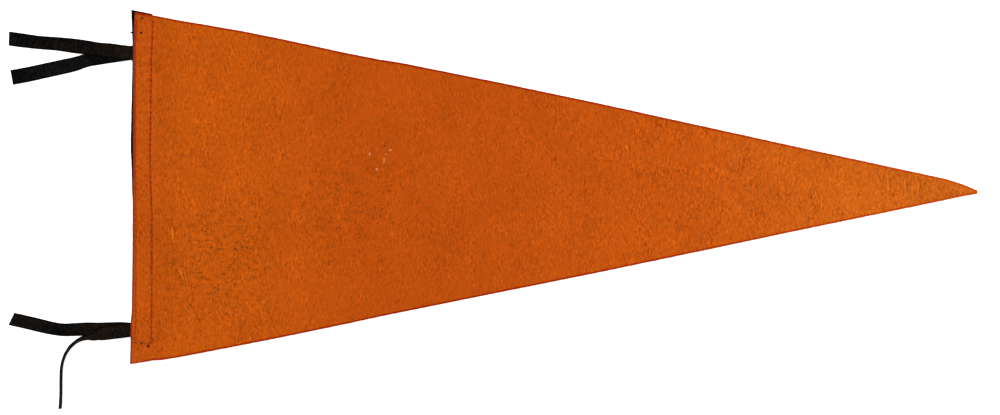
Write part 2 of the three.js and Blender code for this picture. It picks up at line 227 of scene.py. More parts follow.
def linear(code):
    """An sRGB hex colour as linear red, green, blue and alpha. Any other value stays as it is."""
    if not isinstance(code, str):
        return code
    shares = [int(code[i:i + 2], 16) / 255 for i in (1, 3, 5)]
    return [s / 12.92 if s <= 0.04045 else ((s + 0.055) / 1.055) ** 2.4 for s in shares] + [1.0]


def feed(node, inputs):
    """Gives a shader node its inputs, as values or as other nodes' outputs."""
    for socket, value in inputs.items():
        if isinstance(value, bpy.types.NodeSocket):
            node.id_data.links.new(value, node.inputs[socket])
        else:
            node.inputs[socket].default_value = linear(value)


def add(tree, kind, inputs=None, out=0, stops=(), **settings):
    """Adds a shader node with its settings, its inputs and, on a colour ramp, its stops, and gives the
    output that is asked for. A maths node's kind has its operation after it."""
    kind, *operation = kind.split()
    made = tree.nodes.new("ShaderNode" + kind)
    if operation:
        made.operation = operation[0]
    for name, value in settings.items():
        setattr(made, name, value)
    feed(made, inputs or {})
    for position, _ in stops[1:-1]:
        made.color_ramp.elements.new(position)
    for i, (position, colour) in enumerate(stops):
        made.color_ramp.elements[i].position = position
        made.color_ramp.elements[i].color = linear(colour)
    return made.outputs[out]


def placed(name, data):
    """A new object in the scene."""
    made = bpy.data.objects.new(name, data)
    bpy.context.scene.collection.objects.link(made)
    return made


def mesh_of(bm, name, *materials):
    for face in bm.faces:
        face.smooth = True
    mesh = bpy.data.meshes.new(name)
    bm.to_mesh(mesh)
    bm.free()
    for material in materials:
        mesh.materials.append(material)
    return mesh


# Camera, light and floor

def set_camera():
    data = bpy.data.cameras.new("straight_down")
    data.sensor_width = SENSOR_WIDTH
    data.lens = SENSOR_WIDTH * CAMERA_HEIGHT / VIEW_WIDTH
    data.clip_end = 50
    camera = placed("straight_down", data)
    camera.location = (VIEW_CENTRE[0] * MM, VIEW_CENTRE[1] * MM, CAMERA_HEIGHT * MM)
    bpy.context.scene.camera = camera


def set_light():
    scene = bpy.context.scene
    scene.view_settings.view_transform = "Standard"
    scene.world = bpy.data.worlds.new("pale_room")
    scene.world.use_nodes = True
    room = scene.world.node_tree.nodes["Background"]
    feed(room, {"Color": (1, 1, 1, 1), "Strength": ROOM_STRENGTH})
    sun = bpy.data.lights.new("soft_window", "SUN")
    sun.energy = WINDOW_STRENGTH
    sun.angle = radians(WINDOW_SPREAD)
    lamp = placed("soft_window", sun)
    lamp.rotation_euler = Vector(WINDOW_FROM).to_track_quat("Z", "Y").to_euler()


def set_floor():
    bm = bmesh.new()
    bmesh.ops.create_grid(bm, x_segments=2, y_segments=2, size=BOARD_HALF_SIZE)
    bmesh.ops.translate(bm, verts=bm.verts[:], vec=(0, 0, -BOARD_DROP * MM))
    board, _, shader = new_material("white matt board")
    feed(shader, {
        "Base Color": "#f4f4f2", "Roughness": 0.9, "Emission Color": (1, 1, 1, 1),
        "Emission Strength": BOARD_GLOW,
    })
    placed("floor", mesh_of(bm, "floor", board))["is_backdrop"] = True


# Heights of the cloth

def field_edge(x, column, cut=True):
    edge = np.interp(x - HOIST_X, FIELD_EDGES[:, 0], FIELD_EDGES[:, column])
    if not cut:
        return edge
    outwards = (CUT_MARGIN if column == 1 else -CUT_MARGIN) * smooth(x, HOIST_X + 8, HOIST_X + 24)
    slow = 0.13 * wander(x, edge, (5.0, 90.0), column)
    quick = 0.10 * wander(x, edge, (1.7, 90.0), column + 5)
    return edge + outwards + slow + quick


def field_underside(x, y):
    """Height of the field's underside, as its solid has it."""
    over_heading = 1 - smooth(x, RAMP_START_X, RAMP_START_X + RAMP_LENGTH)
    fold_end = TIE_FOLD_X + 2
    past_fold = 1 - smooth(x, fold_end, fold_end + RAMP_LENGTH)
    over_tie = np.maximum(*[
        1 - smooth(abs(y - tie), TIE_HUMP_FLAT, TIE_HUMP_FLAT + TIE_HUMP_SIDE)
        for tie in (LOWER_TIE_Y, UPPER_TIE_Y)
    ])
    at_tip = smooth(x, TIP_X - TIP_LIFT_LENGTH, TIP_X)
    at_corner = 1 - smooth(np.hypot(x - HOIST_X, y - FIELD_EDGES[0, 2]), 0, CORNER_LIFT_LENGTH)
    lower = field_edge(x, 2, cut=False)
    share = (y - lower) / (field_edge(x, 1, cut=False) - lower)
    wave = np.sin(2 * pi * x / EDGE_WAVE_LENGTH + np.where(share > 0.5, 2.0, 0.0))
    at_edge = smooth(abs(share - 0.5), 0.42, 0.5) * np.maximum(0, wave) * (1 - over_heading)
    return (LIFT_BELOW * over_heading + 2 * (TIE_THICKNESS + LAYER_GAP) * over_tie * past_fold
            + TIP_LIFT * at_tip + CORNER_LIFT * at_corner + EDGE_LIFT * at_edge * (1 - at_tip))


def seam_offset(x, y, seam):
    """Distance from a row of stitches, far past its ends."""
    past_ends = np.maximum(0, seam[0, 0] - y) + np.maximum(0, y - seam[-1, 0] - 2)
    return x - follow(seam, y) + 4 * past_ends


def seam_pull(x, y):
    """How strongly the thread draws the layers together, from 0 to 1, most at the needle holes."""
    beat = 0.72 + 0.28 * np.cos(2 * pi * (y - SEAM_START_Y) / STITCH_LENGTH)
    offsets = (seam_offset(x, y, seam) for seam in (INNER_SEAM, OUTER_SEAM))
    return sum(beat * np.exp(-((offset / 1.2) ** 2)) for offset in offsets)


def crease_height(x, y):
    height = np.zeros_like(x)
    for middle_x, middle_y, length, turn, width, rise in CREASES:
        angle = radians(turn)
        across = (x - middle_x) * cos(angle) + (y - middle_y) * sin(angle)
        along = (y - middle_y) * cos(angle) - (x - middle_x) * sin(angle)
        fading = 1 - smooth(abs(along), length * 0.2, length * 0.6)
        height += rise * np.exp(-((across / width) ** 2)) * fading
    return height


def field_top(x, y):
    dents = sum(
        depth * np.exp(-(((x - hole_x) ** 2 + (y - hole_y) ** 2) / (1.5 * radius) ** 2))
        for hole_x, hole_y, radius, depth, _ in PIN_HOLES
    )
    uneven = (0.16 * wander(x, y, (26.0, 34.0), 3.1) + 0.10 * wander(x, y, (7.0, 11.0), 7.7)
              + 0.05 * wander(x, y, (2.6, 4.4), 12.3))
    return (field_underside(x, y) + FIELD_THICKNESS - 0.1 + uneven + crease_height(x, y)
            - FIELD_DRAW * seam_pull(x, y) - dents)


def field_bottom(x, y):
    uneven = 0.06 * (1 + wander(x, y, (9.0, 13.0), 21.0))
    return field_underside(x, y) + uneven - LAYER_DRAW * seam_pull(x, y)


def heading_bottom(x, y):
    return 0.03 * (1 + wander(x, y, (6.0, 8.0), 15.0)) + HEADING_DRAW * seam_pull(x, y)


# Sheets of felt as meshes

ROW_STEP = STITCH_LENGTH / 3
FINE_STEP = 0.85  # between the field's columns near the hoist
FINE_LENGTH = 30.0
WIDE_STEP = 2.05  # and past that
HEADING_COLUMNS = 24
# How far the shears round the edges
FIELD_ROUNDING = 0.35
HEADING_ROUNDING = 0.3
TIE_ROUNDING = 0.28


def finished(bm, name, material):
    bmesh.ops.recalc_face_normals(bm, faces=bm.faces[:])
    piece = placed(name, mesh_of(bm, name, material))
    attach(piece, "root")
    return piece


def grid_of(columns, rows):
    """A flat grid whose vertices keep the numbers of their column and row."""
    bm = bmesh.new()
    bmesh.ops.create_grid(bm, x_segments=columns - 1, y_segments=rows - 1, size=0.5)
    column = bm.verts.layers.int.new("column")
    row = bm.verts.layers.int.new("row")
    for vert in bm.verts:
        vert[column] = round((vert.co.x + 0.5) * (columns - 1))
        vert[row] = round((vert.co.y + 0.5) * (rows - 1))
    return bm


def numbers_of(bm, verts):
    column, row = bm.verts.layers.int["column"], bm.verts.layers.int["row"]
    return np.array([(vert[column], vert[row]) for vert in verts]).T


def place(verts, points):
    for vert, point in zip(verts, points):
        vert.co = point


def points_of(verts):
    return np.array([vert.co for vert in verts]).T / MM


def at_height(height):
    """Gives vertices the height that belongs to their x and y."""
    def points(verts):
        x, y, _ = points_of(verts)
        return np.column_stack([x, y, height(x, y)]) * MM
    return points


def close_below(bm, low_points, rounding):
    """Turns the sheet into a solid: a copy goes to the low points, walls join the two, and the cut
    edges are rounded a little, as shears leave felt."""
    made = bmesh.ops.extrude_face_region(bm, geom=bm.faces[:], use_keep_orig=True)["geom"]
    low = [item for item in made if isinstance(item, bmesh.types.BMVert)]
    place(low, low_points(low))
    bmesh.ops.recalc_face_normals(bm, faces=bm.faces[:])
    rims = [edge for edge in bm.edges if edge.calc_face_angle(0) > radians(50)]
    bmesh.ops.bevel(
        bm, geom=rims, offset=rounding * MM, segments=2, profile=0.5, affect="EDGES", material=-1
    )


def store(piece, name, values):
    attribute = piece.data.attributes.new(name, "FLOAT", "POINT")
    attribute.data.foreach_set("value", np.asarray(values, np.float32))


def numbers_in(mesh, layer):
    values = np.empty(len(mesh.vertices), np.int32)
    mesh.attributes[layer].data.foreach_get("value", values)
    return values


def coordinates(mesh):
    co = np.empty(len(mesh.vertices) * 3)
    mesh.vertices.foreach_get("co", co)
    return co.reshape(-1, 3)


def make_field(material):
    wide = even_steps(FINE_LENGTH, FLY_LENGTH, WIDE_STEP)[1:]
    columns = np.concatenate([even_steps(0, FINE_LENGTH, FINE_STEP), wide])
    first = SEAM_START_Y - ceil((SEAM_START_Y - FIELD_EDGES[0, 2]) / ROW_STEP) * ROW_STEP
    rows = np.arange(first, FIELD_EDGES[0, 1] + ROW_STEP, ROW_STEP)
    bm = grid_of(len(columns), len(rows))
    column, row = numbers_of(bm, bm.verts)
    x = HOIST_X + columns[column]
    y = rows[row]
    lower, upper = field_edge(x, 2), field_edge(x, 1)
    y = np.where(y < lower + 0.45 * ROW_STEP, lower, y)
    y = np.where(y > upper - 0.45 * ROW_STEP, upper, y)
    cut = follow(FIELD_HOIST_EDGE, y) - HOIST_X
    cut += 0.12 * wander(x, y, (90.0, 3.0), 2.2) - 0.5 * CUT_MARGIN
    x += cut * (1 - smooth(x - HOIST_X, 0, 11))
    place(bm.verts, np.column_stack([x, y, np.zeros_like(x)]) * MM)
    bmesh.ops.remove_doubles(bm, verts=bm.verts[:], dist=0.02 * MM)
    place(bm.verts, at_height(field_top)(bm.verts))
    close_below(bm, at_height(field_bottom), FIELD_ROUNDING)
    piece = finished(bm, "field_felt", material)
    x, y, _ = coordinates(piece.data).T / MM
    slant = cos(radians(12))
    from_lower, from_upper = y - field_edge(x, 2, cut=False), field_edge(x, 1, cut=False) - y
    from_long_edges = np.minimum(from_lower, from_upper) * slant
    from_hoist = x - follow(FIELD_HOIST_EDGE, y)
    from_ends = np.minimum(from_hoist, TIP_X - x)
    store(piece, "from_cut_edge", np.minimum(from_long_edges, from_ends))
    store(piece, "inner_seam", seam_offset(x, y, INNER_SEAM))
    store(piece, "outer_seam", seam_offset(x, y, OUTER_SEAM))
    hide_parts("field")
    return piece


def make_heading(material):
    rows = even_steps(HEADING_HOIST_EDGE[0, 0], HEADING_HOIST_EDGE[-1, 0], ROW_STEP)
    bm = grid_of(HEADING_COLUMNS, len(rows))
    column, row = numbers_of(bm, bm.verts)
    share = column / (HEADING_COLUMNS - 1)
    y = rows[row]
    hoist_x = follow(HEADING_HOIST_EDGE, y) - BLACK_CUT_MARGIN
    inner_x = follow(HEADING_INNER_EDGE, y)
    x = hoist_x * (1 - share) + inner_x * share + 0.12 * wander(share, y, (0.4, 3.0), 4.4)
    low, high = (
        HEADING_HOIST_EDGE[end, 0] * (1 - share) + HEADING_INNER_EDGE[end, 0] * share
        for end in (0, -1)
    )
    y = low + row / (len(rows) - 1) * (high - low)
    uneven = 0.04 * wander(x, y, (4.0, 6.0), 9.0) - LAYER_DRAW * seam_pull(x, y)
    top = HEADING_THICKNESS - 0.04 + uneven
    place(bm.verts, np.column_stack([x, y, top]) * MM)
    close_below(bm, at_height(heading_bottom), HEADING_ROUNDING)
    piece = finished(bm, "heading_felt", material)
    store(piece, "from_cut_edge", np.ones(len(piece.data.vertices)))
    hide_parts("heading")
    return piece


# Ties

UP = Vector((0, 0, 1))
TAIL_STEPS = 7  # sections for each row of a tail's table
TIE_ROWS = 9
FOLD_STEPS = 8


def glide(table, column, position):
    """Smooth value of a table's column at a position that counts its rows."""
    last = len(table) - 1
    start = min(int(position), last - 1)
    t = position - start
    before, a, b, after = (table[min(max(start + step, 0), last)][column] for step in (-1, 0, 1, 2))
    slope_a = (b - before) / (2 if start > 0 else 1)
    slope_b = (after - a) / (2 if start < last - 1 else 1)
    return (a + slope_a * t + (3 * (b - a) - 2 * slope_a - slope_b) * t ** 2
            + (2 * (a - b) + slope_a + slope_b) * t ** 3)


def tail_sections(table, layer_z, inward, skew):
    """Sections of one tail from its free end to the fold: centre, across, facing, width."""
    last = len(table) - 1
    sections = []
    for i in range(last * TAIL_STEPS + 1):
        position = i / TAIL_STEPS
        x, y, lift, turn, width = (glide(table, column, position) for column in range(5))
        ahead, behind = min(position + 0.1, last), max(position - 0.1, 0)
        along = Vector([glide(table, c, ahead) - glide(table, c, behind) for c in (0, 1)] + [0])
        side = UP.cross(along.normalized())
        if i == 0:
            side.rotate(Matrix.Rotation(-radians(skew), 3, "Z"))
        angle = radians(turn)
        across = side * cos(angle) + UP * sin(angle)
        facing = (UP * cos(angle) - side * sin(angle)) * inward
        z = max(0.0, lift) + width / 2 * sin(angle) + TIE_THICKNESS / 2 * cos(angle)
        sections.append((Vector((x, y, z)), across, facing, width))
    centre = Vector((TIE_FOLD_X - STRAIGHT_BEFORE_FOLD, table[-1][1], layer_z))
    sections.append((centre, Vector((0, 1, 0)), UP * inward, TIE_WIDTH))
    return sections


def tie_sections(below, above, skew):
    """Sections of a whole tie, from one free end through the fold to the other."""
    radius = (TIE_THICKNESS + LAYER_GAP) / 2
    low_z = LIFT_BELOW + TIE_THICKNESS / 2
    fold = []
    for i in range(FOLD_STEPS + 1):
        angle = pi * i / FOLD_STEPS - pi / 2
        outward = Vector((cos(angle), 0, sin(angle)))
        centre = Vector((TIE_FOLD_X, below[-1][1], low_z + radius)) + outward * radius
        fold.append((centre, Vector((0, 1, 0)), -outward, TIE_WIDTH))
    half = FOLD_STEPS // 2
    lower = tail_sections(below, low_z, 1, skew[0]) + fold[:half]
    upper = fold[half:] + tail_sections(above, low_z + 2 * radius, -1, skew[1])[::-1]
    return [(*section, 0) for section in lower] + [(*section, 1) for section in upper]


def make_tie(name, node, sections, faded_layers, seed, material):
    bm = grid_of(len(sections), TIE_ROWS)
    ends = {0: 1, len(sections) - 1: -2}

    def surface(verts, face):
        points = []
        for i, j in numbers_of(bm, verts).T:
            centre, across, facing, width, _ = sections[i]
            share = j / (TIE_ROWS - 1) * 2 - 1
            if i in ends:
                centre = centre + (centre - sections[ends[i]][0]).normalized() * END_MARGIN
            waver = 0.12 * noise.noise((i * 0.9, share, seed))
            swell = 0.05 * noise.noise((i * 0.35, share * 2, seed + face * 3))
            side = across * share * (width / 2 + BLACK_CUT_MARGIN + waver)
            out = facing * (face * (TIE_THICKNESS / 2 - 0.04) + swell)
            points.append((centre + side + out) * MM)
        return points

    place(bm.verts, surface(bm.verts, 1))
    close_below(bm, lambda verts: surface(verts, -1), TIE_ROUNDING)
    piece = finished(bm, name, material)
    column, row = (numbers_in(piece.data, layer) for layer in ("column", "row"))
    layers = np.array([section[4] for section in sections])
    store(piece, "faded", np.isin(layers[column], faded_layers))
    from_sides = np.minimum(row, TIE_ROWS - 1 - row) * TIE_WIDTH / (TIE_ROWS - 1)
    store(piece, "from_cut_edge", from_sides)
    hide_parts(node)
    return piece


# Threads and fibres

SURFACE_FIBRES = 5200
RAISED_STRANDS = 800
EDGE_FIBRES = 3200
TIE_FIBRES = 1500
SPECKS = 90
# A stitch from one needle hole to the next: share of its length, height above the felt
STITCH_PATH = [
    (-0.50, -0.9), (-0.475, -0.25), (-0.37, 0.12), (-0.16, 0.24), (0.16, 0.24), (0.37, 0.12),
    (0.475, -0.25), (0.50, -0.9),
]


def tube(path, radii, sides):
    """A closed tube along a path: a disc that is extruded from point to point."""
    frames = []
    for i, (point, radius) in enumerate(zip(path, radii)):
        ahead = path[min(i + 1, len(path) - 1)] - path[max(i - 1, 0)]
        turn = UP.rotation_difference(ahead).to_matrix().to_4x4()
        frames.append(Matrix.Translation(point) @ turn @ Matrix.Scale(radius, 4))
    bm = bmesh.new()
    bmesh.ops.create_circle(bm, cap_ends=True, segments=sides, radius=1.0)
    bmesh.ops.transform(bm, matrix=frames[0], verts=bm.verts[:])
    cap = bm.faces[:]
    for i, (old, new) in enumerate(zip(frames, frames[1:])):
        grown = bmesh.ops.extrude_face_region(bm, geom=cap, use_keep_orig=i == 0)["geom"]
        cap = [item for item in grown if isinstance(item, bmesh.types.BMFace)]
        verts = [item for item in grown if isinstance(item, bmesh.types.BMVert)]
        bmesh.ops.transform(bm, matrix=new @ old.inverted(), verts=verts)
    bmesh.ops.recalc_face_normals(bm, faces=bm.faces[:])
    return bm


def copies(bm, count, name, material):
    """A piece of count copies of one small shape, and their points' x, y and z, copy by copy."""
    source = placed(name + "_source", mesh_of(bm, name))
    array = source.modifiers.new("copies", "ARRAY")
    array.count = count
    array.use_relative_offset = False
    depsgraph = bpy.context.evaluated_depsgraph_get()
    made = bpy.data.meshes.new_from_object(source.evaluated_get(depsgraph))
    bpy.data.objects.remove(source)
    made.name = name
    made.materials.clear()
    made.materials.append(material)
    piece = placed(name, made)
    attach(piece, "root")
    return piece, np.moveaxis(coordinates(made).reshape(count, -1, 3), 2, 0)


def set_points(piece, *parts):
    points = np.stack(parts, axis=2) * MM
    piece.data.vertices.foreach_set("co", points.reshape(-1).astype(np.float32))
    piece.data.update()


def make_stitches(name, seam, above, material):
    """One row of stitches, on the field's side or on the heading's."""
    reach = STITCH_LENGTH * 0.95
    path = [Vector((0, share * reach, height)) for share, height in STITCH_PATH]
    thread = tube(path, [THREAD_RADIUS] * len(path), 6)
    piece, (across, along, up) = copies(thread, STITCH_COUNT, name, material)
    rng = np.random.default_rng(11 if above else 12)
    middle_y = SEAM_START_Y + (np.arange(STITCH_COUNT) + 0.5) * STITCH_LENGTH
    middle_x = follow(seam, middle_y) + rng.normal(0, 0.06, STITCH_COUNT)
    slant = rng.normal(0.05, 0.03, (STITCH_COUNT, 1))
    slope = (follow(seam, middle_y + 1) - follow(seam, middle_y - 1)) / 2
    x = across + middle_x[:, None] + along * (slant + slope[:, None])
    y = along + middle_y[:, None]
    if above:
        z = up + field_top(middle_x, middle_y)[:, None]
    else:
        z = HEADING_DRAW * seam_pull(middle_x, middle_y)[:, None] - 0.45 * up
    set_points(piece, x, y, z)
    if not above:
        piece.data.flip_normals()
    return piece


def lay_fibres(
    name, material, x, y, angle, length, width, arch, ground, rng, flat=0.6, sides=3, parts=5,
):
    """Loose fibres that lie on the felt: a piece of curved, tapering strands. angle is from the X axis
    in radians, arch how far the middle rises, and ground gives the height below each point."""
    shares = np.linspace(-0.5, 0.5, parts + 1)
    path = [Vector((share, 0, 0)) for share in shares]
    radii = [0.5 * sqrt(max(0.06, 1 - (2 * share) ** 2)) for share in shares]
    count = len(x)
    piece, (along, across, up) = copies(tube(path, radii, sides), count, name, material)
    along = np.clip(along, -0.5, 0.5)
    bend = rng.normal(0, 0.28, (count, 1))
    curl = rng.normal(0, 0.10, (count, 1))
    turn = rng.uniform(0, 2 * pi, (count, 1))
    length, width, arch, angle = (
        np.asarray(values, float).reshape(-1, 1) for values in (length, width, arch, angle)
    )
    curve = bend * (along ** 2 - 0.08) + curl * np.sin(7 * along + turn)
    side = length * curve + across * width
    forward = along * length
    px = x[:, None] + forward * np.cos(angle) - side * np.sin(angle)
    py = y[:, None] + forward * np.sin(angle) + side * np.cos(angle)
    rise = arch * (1 - (2 * along) ** 2) - 0.3 * width + up * width * flat
    set_points(piece, px, py, ground(px, py) + rise)
    store(piece, "tint", np.repeat(rng.uniform(0, 1, count), along.shape[1]))
    return piece


def scattered(rng, count, weight):
    """Places on the field's top, chosen at random where weight(x, y) is high."""
    places = []
    while len(places) < count:
        x = rng.uniform(HOIST_X, TIP_X, 4 * count)
        y = rng.uniform(FIELD_EDGES[0, 2], FIELD_EDGES[0, 1], 4 * count)
        inside = (y > field_edge(x, 2, cut=False) + 1.2) & (y < field_edge(x, 1, cut=False) - 1.2)
        inside &= (x > HOIST_X + 2) & (x < TIP_X - 2)
        kept = inside & (rng.uniform(0, 1, len(x)) < weight(x, y))
        places.extend(zip(x[kept], y[kept]))
    return np.array(places[:count]).T


def make_surface_fibres(material):
    rng = np.random.default_rng(5)
    count = SURFACE_FIBRES
    x, y = scattered(rng, count, lambda x, y: 0.35 + 0.65 * smooth(x, -150, 400))
    along_y = rng.uniform(0, 1, count) < 0.72
    angle = np.where(along_y, rng.normal(pi / 2, 0.45, count), rng.uniform(0, pi, count))
    length = rng.lognormal(log(2.6), 0.45, count).clip(1.0, 6.5)
    width = rng.uniform(0.16, 0.42, count)
    arch = rng.uniform(0.0, 0.22, count)
    piece = lay_fibres("surface_fibres", material, x, y, angle, length, width, arch, field_top, rng)
    return piece


def make_raised_strands(material):
    """Longer strands, light and dark, most of them along the seam and towards the tip."""
    rng = np.random.default_rng(7)
    count = RAISED_STRANDS

    def weight(x, y):
        return 0.12 + 0.88 * (1 - smooth(x, -285, -240)) + 0.45 * smooth(x, 0, 250)

    x, y = scattered(rng, count, weight)
    angle = rng.normal(pi / 2, 0.22, count)
    length = rng.uniform(2.5, 7.0, count)
    width = rng.uniform(0.26, 0.58, count)
    arch = rng.uniform(0.05, 0.2, count)
    piece = lay_fibres("raised_strands", material, x, y, angle, length, width, arch, field_top, rng)
    return piece


def make_edge_fuzz(material):
    """Short fibres that the shears left standing out of the field's cut edges."""
    rng = np.random.default_rng(6)
    count = EDGE_FIBRES
    hoist = rng.uniform(0, 1, count) < 0.17
    upper = rng.uniform(0, 1, count) < 0.5
    along = rng.uniform(HOIST_X, TIP_X - 1, count)
    up = rng.uniform(FIELD_EDGES[0, 2], FIELD_EDGES[0, 1], count)
    x = np.where(hoist, follow(FIELD_HOIST_EDGE, up), along)
    y = np.where(hoist, up, np.where(upper, field_edge(along, 1), field_edge(along, 2)))
    outward = np.where(hoist, pi, np.where(upper, radians(78), radians(-78)))
    angle = outward + rng.normal(0, 0.75, count)
    length = rng.uniform(0.6, 2.2, count)
    x = x + np.cos(outward) * rng.uniform(-0.25, 0.12, count)
    y = y + np.sin(outward) * rng.uniform(-0.25, 0.12, count)
    level = rng.uniform(0.15, 1.35, (count, 1))

    def ground(px, py):
        return field_underside(px, py) + level

    width = rng.uniform(0.08, 0.17, count)
    arch = rng.normal(0, 0.12, count)
    piece = lay_fibres(
        "edge_fuzz", material, x, y, angle, length, width, arch, ground, rng, flat=1.0, parts=3
    )
    return piece


def make_tie_fuzz(name, sections, seed, material):
    """Fibres along a tie's edges and on its faces."""
    rng = np.random.default_rng(seed)
    count = TIE_FIBRES
    chosen = [sections[i] for i in rng.integers(0, len(sections), count)]
    on_edge = rng.uniform(0, 1, count) < 0.6
    share = np.where(on_edge, rng.choice([-1.0, 1.0], count), rng.uniform(-1, 1, count))
    face = rng.choice([-1.0, 1.0], count)
    middle = []
    for (centre, across, facing, width, _), s, f, edge in zip(chosen, share, face, on_edge):
        height = rng.uniform(-0.4, 0.4) if edge else f * (TIE_THICKNESS / 2 - 0.02)
        along = across.cross(facing)
        middle.append(centre + across * s * width / 2 + facing * height + along * rng.uniform(-1, 1))
    x, y, z = np.array(middle).T
    level = np.maximum(z, 0.1)[:, None]
    angle = rng.uniform(0, 2 * pi, count)
    length = rng.uniform(0.5, 1.7, count)
    width = rng.uniform(0.07, 0.15, count)
    arch = rng.uniform(-0.05, 0.1, count)
    piece = lay_fibres(
        name, material, x, y, angle, length, width, arch, lambda px, py: level + 0 * px, rng,
        flat=1.0, parts=3,
    )
    return piece


# Soiled areas: x and y of the middle, half sizes, strength.
SOILED = [
    (-237.0, -50.0, 50.0, 60.0, 1.0), (-118.0, 4.0, 62.0, 50.0, 0.7),
    (-20.0, -30.0, 70.0, 40.0, 0.35), (250.0, 16.0, 150.0, 30.0, 0.25),
]


def soil(x, y):
    return sum(
        strength * np.exp(-(((x - middle_x) / size_x) ** 2) - ((y - middle_y) / size_y) ** 2)
        for middle_x, middle_y, size_x, size_y, strength in SOILED
    )


def make_specks(material):
    """Dark crumbs of dirt pressed into the felt."""
    rng = np.random.default_rng(8)
    bm = bmesh.new()
    bmesh.ops.create_icosphere(bm, subdivisions=1, radius=0.5)
    piece, (along, across, up) = copies(bm, SPECKS, "dirt_specks", material)
    x, y = scattered(rng, SPECKS, lambda x, y: 0.01 + 0.9 * np.clip(soil(x, y), 0, 1))
    size = rng.lognormal(log(0.5), 0.35, (SPECKS, 1)).clip(0.25, 1.1)
    stretch = rng.uniform(1.0, 2.6, (SPECKS, 1))
    turn = rng.uniform(0, pi, (SPECKS, 1))
    a, b = along * size * stretch, across * size
    px = x[:, None] + a * np.cos(turn) - b * np.sin(turn)
    py = y[:, None] + a * np.sin(turn) + b * np.cos(turn)
    pz = field_top(px, py) + up * size * 0.3 + 0.02
    set_points(piece, px, py, pz)
    return piece


# Single strands that show: x, y, angle in degrees, length, width. White lint lies in loose wisps.
WHITE_LINT = [
    (-107.0, 46.8, 88, 4.2, 1.1), (-94.2, 42.3, 84, 4.4, 1.1), (-89.4, 51.0, 10, 2.8, 0.8),
    (-92.9, 47.2, 75, 1.8, 0.3), (-100.9, 34.3, 60, 2.2, 0.6),
]
LINT_STRANDS = 6  # thin strands in each wisp
STRAND_ARCH = 0.12
DARK_STRANDS = [
    (-79.5, 19.4, 105, 9.6, 0.30), (-93.7, 55.0, 30, 1.8, 0.6), (-312.8, 152.7, 158, 3.8, 1.3),
    (-311.8, 153.9, 110, 2.2, 0.35), (79.6, 9.1, 70, 1.7, 0.7), (-27.8, -46.9, 40, 1.6, 0.7),
    (295.5, 22.0, 95, 1.6, 0.6), (215.9, -3.9, 60, 1.6, 0.6), (192.5, 54.1, 20, 1.4, 0.5),
    (411.6, 17.7, 80, 1.5, 0.5), (-115.8, -24.7, 30, 2.0, 0.7), (-141.4, -25.6, 80, 1.8, 0.7),
]


def wisps(rows, seed):
    """Each row's strand drawn out into several thin ones that lie beside one another."""
    rng = np.random.default_rng(seed)
    drawn = []
    for x, y, angle, length, width in rows:
        across = radians(angle) + pi / 2
        for _ in range(LINT_STRANDS):
            aside = rng.normal(0, width / 2)
            along = rng.normal(0, length / 5)
            drawn.append((
                x + aside * cos(across) + along * sin(across),
                y + aside * sin(across) - along * cos(across),
                angle + rng.normal(0, 16), length * rng.uniform(0.4, 0.9), rng.uniform(0.14, 0.30),
            ))
    return drawn


def make_strands(name, rows, material, seed):
    x, y, angle, length, width = np.array(rows, float).T
    rng = np.random.default_rng(seed)
    piece = lay_fibres(
        name, material, x, y, np.radians(angle), length, width, STRAND_ARCH, field_top, rng,
        flat=0.5, sides=6, parts=9,
    )
    return piece


# Materials

SOFT = {"interpolation_type": "SMOOTHSTEP"}  # a share that eases in and out
COLOURS = {"data_type": "RGBA", "out": 2}  # a mix of two colours


def new_material(name):
    material = bpy.data.materials.new(name)
    material.use_nodes = True
    return material, material.node_tree, material.node_tree.nodes["Principled BSDF"]


def millimetres(tree):
    place = add(tree, "TexCoord", out="Object")
    return add(tree, "VectorMath SCALE", {0: place, "Scale": 1 / MM})


def pattern(tree, place, cell, turn=0.0, detail=2.0, distortion=0.0):
    """Noise whose blotches have the given size in millimetres along x, y and z."""
    rotation = (0, 0, radians(turn))
    turned = add(tree, "Mapping", {"Vector": place, "Rotation": rotation})
    sized = add(tree, "VectorMath DIVIDE", {0: turned, 1: cell})
    inputs = {"Vector": sized, "Scale": 1.0, "Detail": detail, "Distortion": distortion}
    return add(tree, "TexNoise", inputs)


# Patterns of felted wool seen from above, with fibres matted in all directions but most of them along
# Y, the way the roller went: size along x, y and z, turn in degrees, detail, distortion
TUFTS = ((1.6, 2.9, 2.0), 4, 2.5, 0.4)
STRANDS = ((0.7, 3.4, 1.0), -5, 2.0, 0.7)
CROSSING = ((2.0, 0.5, 1.0), 24, 2.0, 0.9)
BLOTCHES = ((36.0, 60.0, 40.0), 0, 3.0, 0.0)
# The same for groups of strands, for grime and for the rows in which it lies
GROUPS = ((15.0, 20.0, 20.0), 0, 2.0, 0.5)
GRIME = ((1.9, 2.2, 2.0), 30, 3.0, 0.8)
GRIME_ROWS = ((11.0, 3.6, 20.0), 0, 2.0, 0.3)
TUFT_HEIGHT = 0.30
STRAND_HEIGHT = 0.10
# How far tufts, strands, crossing strands and blotches lighten and darken the orange felt
GRAIN_DEPTHS = (0.42, 0.95, 0.24, 0.26)
# Along the fly, from hoist to tip: the dyed field's colour, how strongly its grain shows, and the
# colour of the painted shade along its cut edges, which is redder, least so towards the tip
FLY_COLOURS = (
    (0.0, "#a54509"), (0.06, "#aa4a08"), (0.14, "#aa4a08"), (0.26, "#a54408"),
    (0.45, "#a74509"), (0.66, "#af4b0b"), (0.84, "#b75611"), (1.0, "#b85b14"),
)
GRAIN_CONTRAST = [(position, [share, share, share, 1.0]) for position, share in (
    (0.0, 0.73), (0.15, 0.75), (0.28, 0.58), (0.42, 0.60), (0.6, 0.80), (0.85, 0.85), (1.0, 0.95),
)]
EDGE_SHADE_COLOURS = (
    (0.0, "#8e2200"), (0.3, "#861c00"), (0.65, "#902400"), (0.85, "#a03202"), (1.0, "#ac3e06"),
)
